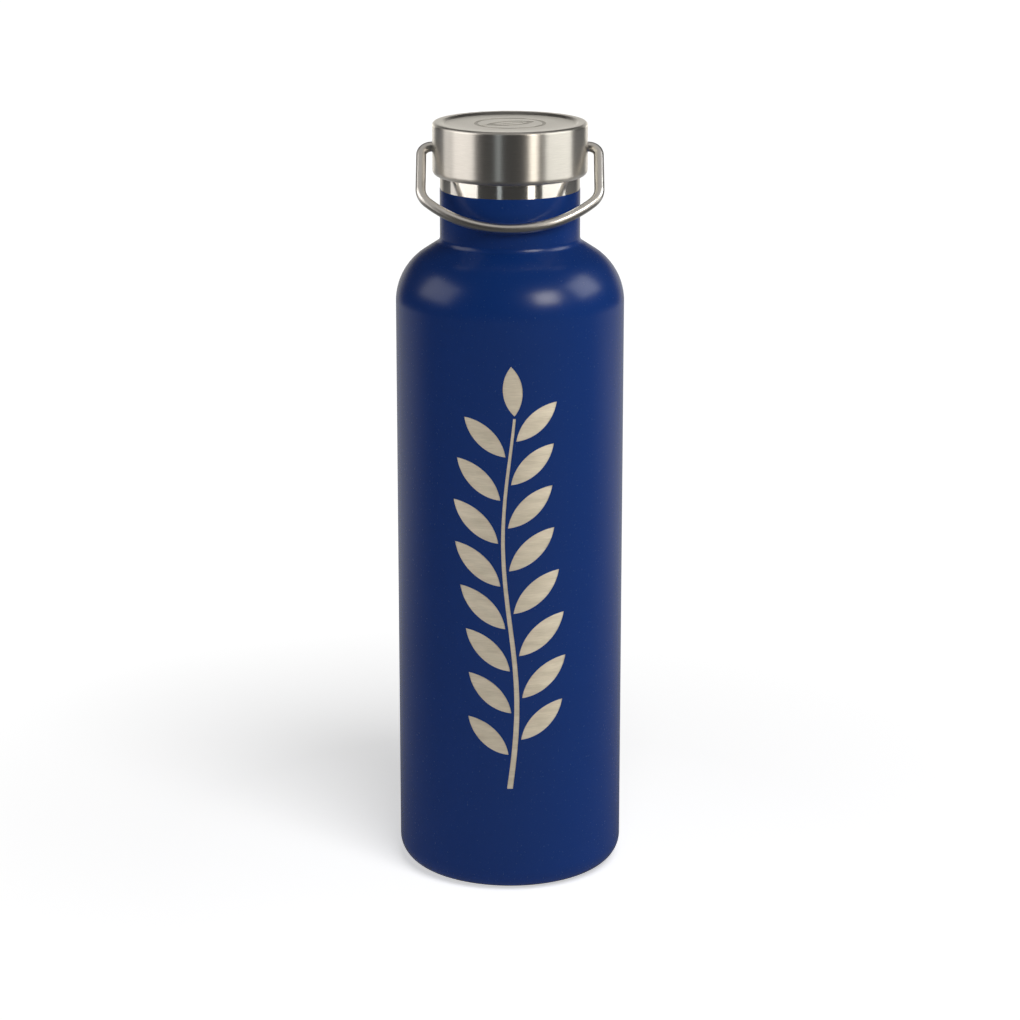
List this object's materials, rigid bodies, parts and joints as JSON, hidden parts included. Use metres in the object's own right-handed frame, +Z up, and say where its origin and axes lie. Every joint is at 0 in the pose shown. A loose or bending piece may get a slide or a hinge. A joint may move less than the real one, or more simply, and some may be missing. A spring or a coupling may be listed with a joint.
{
  "type": "vacuum insulated water bottle",
  "caption": "Double-walled steel water bottle with a narrow neck, a screw-on steel cap and a swinging wire carry handle.",
  "frame": {"origin": "middle of the foot, on the plane that the bottle stands on", "axes": "+Z up along the bottle's axis. The handle's pivot axis lies along X, and the handle hangs on the -Y side, which is the front with the leaf ornament."},
  "size_m": [0.073, 0.073, 0.246],
  "materials": {
    "polished_steel": "bright polished stainless steel on the neck band, brushed under the coat",
    "blue_powder_coat": "satin royal-blue powder coat with a very fine grain",
    "satin_steel": "satin stainless steel",
    "solder": "dull grey solder bead",
    "getter_alloy": "dark sintered pellet",
    "copper": "bright copper foil",
    "brushed_steel": "fine brushed stainless steel with a laser-etched emblem",
    "grey_plastic": "moulded dark grey polypropylene",
    "white_foam": "closed-cell foam",
    "clear_silicone": "translucent silicone rubber",
    "polished_wire": "polished stainless steel wire"
  },
  "bodies": {
    "bottle": {"outer_shell": "polished_steel", "powder_coat": "blue_powder_coat", "outer_base": "satin_steel", "vacuum_seal": "solder", "base_cover": "satin_steel", "inner_vessel": "satin_steel", "inner_base": "satin_steel", "getter_cup": "satin_steel", "getter_pellet": "getter_alloy", "copper_foil": "copper"},
    "seal": {"lid_seal": "clear_silicone"},
    "lid": {"cap_shell": "brushed_steel", "lid_carrier": "grey_plastic", "lid_plug": "grey_plastic", "lid_foam": "white_foam", "plug_disc": "satin_steel"},
    "bail": {"bail_handle": "polished_wire"}
  },
  "joints": [
    {"name": "lid_lift", "type": "slide", "parent": "bottle", "child": "seal", "axis": [0, 0, 1], "range_m": [0, 0.0211]},
    {"name": "lid_turn", "type": "hinge", "parent": "seal", "child": "lid", "pos_m": [0, 0, 0.238], "axis": [0, 0, 1], "range_deg": [0, 1260]},
    {"name": "bail_swing", "type": "hinge", "parent": "lid", "child": "bail", "pos_m": [0, 0, 0.238], "axis": [-1, 0, 0], "range_deg": [0, 264.5]}
  ],
  "couplings": [
    {"joint": "lid_lift", "follows": "lid_turn", "m_per_rad": 0.00095493}
  ]
}
